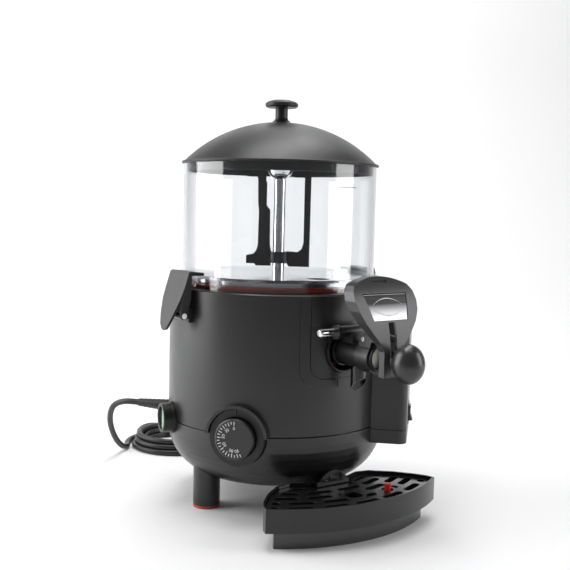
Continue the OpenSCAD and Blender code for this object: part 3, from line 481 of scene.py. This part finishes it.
# Route about the drum's axis, in metres: out of the strain relief, down, and on to the coil
LEAD_ROUTE = [
    (-0.105, 0.150, 0.092), (-0.117, 0.167, 0.091), (-0.123, 0.183, 0.084), (-0.121, 0.200, 0.069),
    (-0.112, 0.218, 0.048), (-0.097, 0.235, 0.025), (-0.080, 0.251, 0.009), (-0.066, 0.265, 0.004)]
TAIL_ROUTE = [
    (0.057, 0.288, 0.004), (0.068, 0.281, 0.005), (0.079, 0.273, 0.008), (0.089, 0.264, 0.013),
    (0.098, 0.253, 0.017), (0.105, 0.242, 0.019)]
COIL_CENTRE = Vector((0.003, 0.248, 0))
# Radius and height of the coil's turns, from the first turn on the floor to the last on top
COIL_TURNS = [
    (0.0595, 0.0038), (0.0518, 0.0038), (0.0441, 0.0038), (0.0480, 0.0104), (0.0557, 0.0104),
    (0.0518, 0.0172)]
COIL_START = math.radians(166)
COIL_END = math.radians(36.5)
STEPS_A_TURN = 24


def eased(t):
    t = max(0.0, min(1.0, t))
    return t * t * (3 - 2 * t)


def coil_points():
    """Turns of the coil, each on its own radius and height, with a short step from one to the next."""
    lap = 2 * math.pi
    whole = lap * len(COIL_TURNS) + (COIL_START - COIL_END)
    steps = int(whole / lap * STEPS_A_TURN)
    entry = (0.0700, 0.0040)
    leave = (0.0680, 0.0040)
    stations = [entry] + COIL_TURNS + [leave]
    points = []
    for i in range(1, steps):
        turned = whole * i / steps
        n = min(int(turned / lap), len(COIL_TURNS))
        share = (turned - n * lap) / lap
        if n < len(COIL_TURNS):
            before, after = stations[n], stations[n + 1]
            t = eased(share / 0.26) if n == 0 else eased(share / 0.14)
            tz = t
        else:
            before, after = stations[n], leave
            last = (COIL_START - COIL_END) / lap
            t = eased(share / last * 1.12)
            tz = eased((share / last - 0.42) / 0.55)
        r = before[0] + (after[0] - before[0]) * t
        z = before[1] + (after[1] - before[1]) * tz
        a = COIL_START - turned
        points.append(COIL_CENTRE + Vector((r * math.cos(a), r * math.sin(a), z)))
    return points


# Direction that the plug points in, and half the distance between its pins
PLUG_AHEAD = Vector((math.cos(math.radians(-60)), math.sin(math.radians(-60)), 0))
PIN_SPREAD = 0.0095
# Outline of the plug's rubber body, in millimetres from its neck: radius and distance
PLUG_OUTLINE = [
    (0, 0), (4.2, 0), (5.6, 0.5), (5.6, 3), (5.0, 3.6), (5.0, 4.6), (5.9, 5.2), (5.9, 8), (5.3, 8.6),
    (5.3, 9.6), (6.4, 10.2), (6.6, 13), (6.0, 13.6), (6.0, 14.8), (7.4, 15.6), (8.5, 19), (12, 22.5),
    (16.5, 25.8), (18.1, 28.4), (18.4, 30), (18.4, 33.6), (17.9, 34.2), (17.9, 36), (18.4, 36.6),
    (18.4, 39.5), (17.6, 40.8), (16.8, 41), (0, 41)]
PIN_OUTLINE = [(0, 40.5), (2.4, 40.5), (2.4, 49), (2.25, 49.2), (2.25, 56.8), (1.5, 58.6), (0, 58.9)]


def make_plug():
    """Round two-pin plug at the end of the lead."""
    end = AXIS + Vector(TAIL_ROUTE[-1])
    place = facing(end, PLUG_AHEAD)
    body = bmesh.new()
    add_lathe(body, place, [(r / 1000, z / 1000) for r, z in PLUG_OUTLINE])
    plug = add_piece("plug_body", mesh_from(body, "plug_body"), "plug", "machine")
    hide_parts("mains_plug")
    pins = bmesh.new()
    for side in (-1, 1):
        shifted = place @ Matrix.Translation((side * PIN_SPREAD, 0, 0))
        add_lathe(pins, shifted, [(r / 1000, z / 1000) for r, z in PIN_OUTLINE], 24)
    return [plug, add_piece("plug_pins", mesh_from(pins, "plug_pins"), "bright", "machine")]


# Section of the tie round the coil, in millimetres from the coil's upright axis and from the floor
TIE_SECTION = [
    (51.8, 22.2), (48.2, 21.3), (45.0, 17.0), (41.8, 11.5), (39.2, 6.2), (39.3, 3.0), (41.2, 1.2),
    (51.8, 1.2), (62.4, 1.2), (64.3, 3.0), (64.4, 6.2), (61.8, 11.5), (58.6, 17.0), (55.4, 21.3)]
TIE_A = math.radians(80)


def make_coil_tie():
    """Twist tie: two turns round the coil's far side, with its ends twisted together on top."""
    out = Vector((math.cos(TIE_A), math.sin(TIE_A), 0))
    along = Vector((-out.y, out.x, 0))
    points = []
    for lap in range(2):
        for i, (r, z) in enumerate(TIE_SECTION):
            shift = 0.0024 * (lap + i / len(TIE_SECTION)) - 0.0024
            points.append(AXIS + COIL_CENTRE + out * r / 1000 + along * shift + Vector((0, 0, z / 1000)))
    bm = bmesh.new()
    add_tube(bm, points, 0.0010, 10)
    top = AXIS + COIL_CENTRE + out * 0.0518 + Vector((0, 0, 0.0225))
    for phase in (0, math.pi):
        twist = []
        for k in range(25):
            a = phase + k * math.radians(45)
            away = along * (-0.0008 * k) + Vector((0, 0, 0.0006 + 0.00005 * k))
            twist.append(top + away + 0.0009 * (math.cos(a) * out + math.sin(a) * Vector((0, 0, 1))))
        add_tube(bm, twist, 0.0008, 8)
    return add_piece("coil_tie", mesh_from(bm, "coil_tie"), "plug", "machine")


def make_lead():
    route = [Vector(p) for p in LEAD_ROUTE] + coil_points() + [Vector(p) for p in TAIL_ROUTE]
    route = [p + AXIS for p in route]
    curve = bpy.data.curves.new("mains_cord", "CURVE")
    curve.dimensions = "3D"
    curve.bevel_depth = LEAD_D / 2
    curve.bevel_resolution = 5
    curve.resolution_u = 4
    curve.use_fill_caps = True
    spline = curve.splines.new("BEZIER")
    spline.bezier_points.add(len(route) - 1)
    for i, (knot, point) in enumerate(zip(spline.bezier_points, route)):
        step = (route[min(i + 1, len(route) - 1)] - route[max(i - 1, 0)]) / 6
        knot.co = point
        knot.handle_left_type = knot.handle_right_type = "FREE"
        knot.handle_left = point - step
        knot.handle_right = point + step
    cord = bpy.data.objects.new("mains_cord", curve)
    bpy.context.scene.collection.objects.link(cord)
    dress(cord, "cord")
    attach(cord, "machine")
    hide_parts("mains_lead", "lead_coil", "lead_tail")
    make_plug() + [make_coil_tie(), CAD["strain_relief"]]


make_lead()

# ---------------------------------------------------------------- dial, badge and bowl marks

DIAL_TURN = math.radians(205)
DIAL_TICKS = 20
# Figures on the dial, and the angle of each from the first, in degrees
DIAL_FIGURES = {0: 0, 30: 41, 50: 78, 60: 120, 80: 167, 90: 197}


def make_dial_scale():
    """Ticks and figures round the left half of the thermostat's knob."""
    place = facing(on_drum(DIAL_A, DIAL_FACE, DIAL_Z), outward(DIAL_A))
    bm = bmesh.new()
    for i in range(DIAL_TICKS):
        around = Matrix.Rotation(DIAL_TURN * i / (DIAL_TICKS - 1), 4, "Z")
        inner = 0.0150 if i % 2 == 0 else 0.0163
        add_bar(bm, place @ around, -0.0004, 0.0004, inner, 0.0192, -0.0001, 0.00012)
    for figure, degrees in DIAL_FIGURES.items():
        spot = Matrix.Rotation(math.radians(degrees), 4, "Z") @ Matrix.Translation((0, 0.0119, 0))
        add_figure(bm, str(figure), place @ spot, 0.0050, 0.0002)
    add_piece("dial_scale", mesh_from(bm, "dial_scale", False), "print_and_highlight", "thermostat")


def make_badge_arcs():
    """Two plain arcs, and a pale line along the badge's top and bottom edges that is a painted highlight on
    their bevels, all on its curved face.
    """
    low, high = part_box("badge")
    # The shield's face, and the badge on it, are bent about a level axis
    bend_y = AXIS.y - 0.088
    bend_z = 0.196
    bend_r = 0.1165
    middle = (low.z + high.z) / 2
    half_h = (high.z - low.z) / 2

    def on_face(x, z):
        return Vector((x, bend_y - math.sqrt(bend_r ** 2 - (z - bend_z) ** 2), z))

    bm = bmesh.new()
    for side in (-1, 1):
        shares = [k / 16 - 1 for k in range(33)]
        arc = [on_face(0.0195 * t, middle + side * (0.0022 + 0.0060 * (1 - t * t))) for t in shares]
        swell = [0.0001 + 0.00045 * (1 - abs(t)) for t in shares]
        add_tube(bm, arc, 0.0005, 8, swell)
        # Painted highlight: a pale line along the bevel of each of the badge's edges
        highlight_line_z = middle + side * (half_h - 0.0012)
        reach = 0.0245 + side * 0.0032
        edge = [on_face(reach * (k / 12 - 1), highlight_line_z) for k in range(25)]
        add_tube(bm, edge, 0.00022, 8)
    add_piece("badge_arcs_and_highlights", mesh_from(bm, "badge_arcs_and_highlights"), "print_and_highlight", "machine")


LEVEL_Z = 0.364
LEVEL_START = -3
LEVEL_STEP = 1.3
LEVEL_STEPS = 12


def make_level_line():
    """Fine line on the bowl that shows how far it may be filled, from one angle to another in steps."""
    bm = bmesh.new()
    rows = []
    for k in range(LEVEL_STEPS + 1):
        a = math.radians(LEVEL_START + k * LEVEL_STEP)
        for r in (BOWL_R + 0.00004, BOWL_R + 0.00016):
            rows.append([bm.verts.new(on_drum(a, r, LEVEL_Z + dz)) for dz in (-0.0004, 0.0004)])
    for k in range(LEVEL_STEPS):
        i0, o0, i1, o1 = rows[2 * k], rows[2 * k + 1], rows[2 * k + 2], rows[2 * k + 3]
        for a, b, c, d in ((i0[0], i1[0], i1[1], i0[1]), (o0[0], o0[1], o1[1], o1[0]),
                           (i0[0], o0[0], o1[0], i1[0]), (i0[1], i1[1], o1[1], o0[1])):
            bm.faces.new((a, b, c, d))
    for i, o in ((rows[0], rows[1]), (rows[-2], rows[-1])):
        bm.faces.new((i[0], i[1], o[1], o[0]))
    add_piece("level_line", mesh_from(bm, "level_line", False), "mark", "machine")


SPRING_TURNS = 3
SPRING_STEPS = 24
SPRING_R = 0.0040


def make_lever_spring():
    """Two wound springs on the lever's pin, one on each side of the lever."""
    low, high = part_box("lever_pin")
    centre = (low + high) / 2
    bm = bmesh.new()
    for side in (-1, 1):
        points = []
        last = SPRING_TURNS * SPRING_STEPS
        for k in range(last + 1):
            a = 2 * math.pi * k / SPRING_STEPS
            x = side * (0.0044 + 0.0034 * k / last)
            points.append(centre + Vector((x, SPRING_R * math.cos(a), SPRING_R * math.sin(a))))
        add_tube(bm, points, 0.0006, 8)
    piece = add_piece("spring_coils", mesh_from(bm, "spring_coils"), "wire", "machine")
    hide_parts("lever_spring")


make_dial_scale()
make_badge_arcs()
make_level_line()
make_lever_spring()

# ---------------------------------------------------------------- studio


def make_studio():
    """Pale floor that rises in one sweep behind the object."""
    bm = bmesh.new()
    span, depth, rise, bend = 6.0, 1.6, 3.0, 0.8
    profile = [(-6.0, 0.0)] + [
        (depth - bend + bend * math.sin(a), bend - bend * math.cos(a))
        for a in (math.radians(d) for d in range(0, 91, 6))] + [(depth, rise)]
    turn = Matrix.Rotation(-PHOTO_TURN, 3, "Z")
    rows = [[bm.verts.new(AXIS + turn @ Vector((x, y, z))) for x in (-span, span)] for y, z in profile]
    for a, b in zip(rows, rows[1:]):
        bm.faces.new((a[0], a[1], b[1], b[0]))
    floor_mesh = mesh_from(bm, "floor")
    floor = bpy.data.objects.new("floor", floor_mesh)
    bpy.context.scene.collection.objects.link(floor)
    paper = Shader("backdrop_paper", (0.86, 0.86, 0.865), 0.8)
    paper.mottle(1.3, 0.012)
    floor_mesh.materials.append(paper.material)


def make_light(name, place, target, size, power):
    """Softbox at a place in the camera's own frame, aimed at a target about the drum's axis."""
    data = bpy.data.lights.new(name, "AREA")
    data.shape = "RECTANGLE"
    data.size, data.size_y = size
    data.energy = power
    light = bpy.data.objects.new(name, data)
    turn = Matrix.Rotation(-PHOTO_TURN, 3, "Z")
    light.location = AXIS + turn @ Vector(place)
    aim = AXIS + Vector(target) - light.location
    light.rotation_mode = "QUATERNION"
    light.rotation_quaternion = aim.to_track_quat("-Z", "Y")
    bpy.context.scene.collection.objects.link(light)


make_studio()
make_light("left_softbox", (-1.5, 0.0, 0.75), (0, 0, 0.2), (1.3, 1.5), 26)
make_light("top_softbox", (0.0, -0.1, 1.8), (0, 0, 0.2), (1.2, 1.2), 10)
make_light("right_softbox", (1.6, -0.3, 0.7), (0, 0, 0.2), (0.8, 1.3), 12)
make_light("backdrop_light", (0.0, 0.5, 2.4), (0, 1.6, 0.8), (2.4, 0.8), 34)

world = bpy.data.worlds.new("studio")
world.use_nodes = True
world.node_tree.nodes["Background"].inputs["Color"].default_value = (0.98, 0.985, 1.0, 1)
world.node_tree.nodes["Background"].inputs["Strength"].default_value = 0.17
bpy.context.scene.world = world
bpy.context.scene.view_settings.view_transform = "Standard"
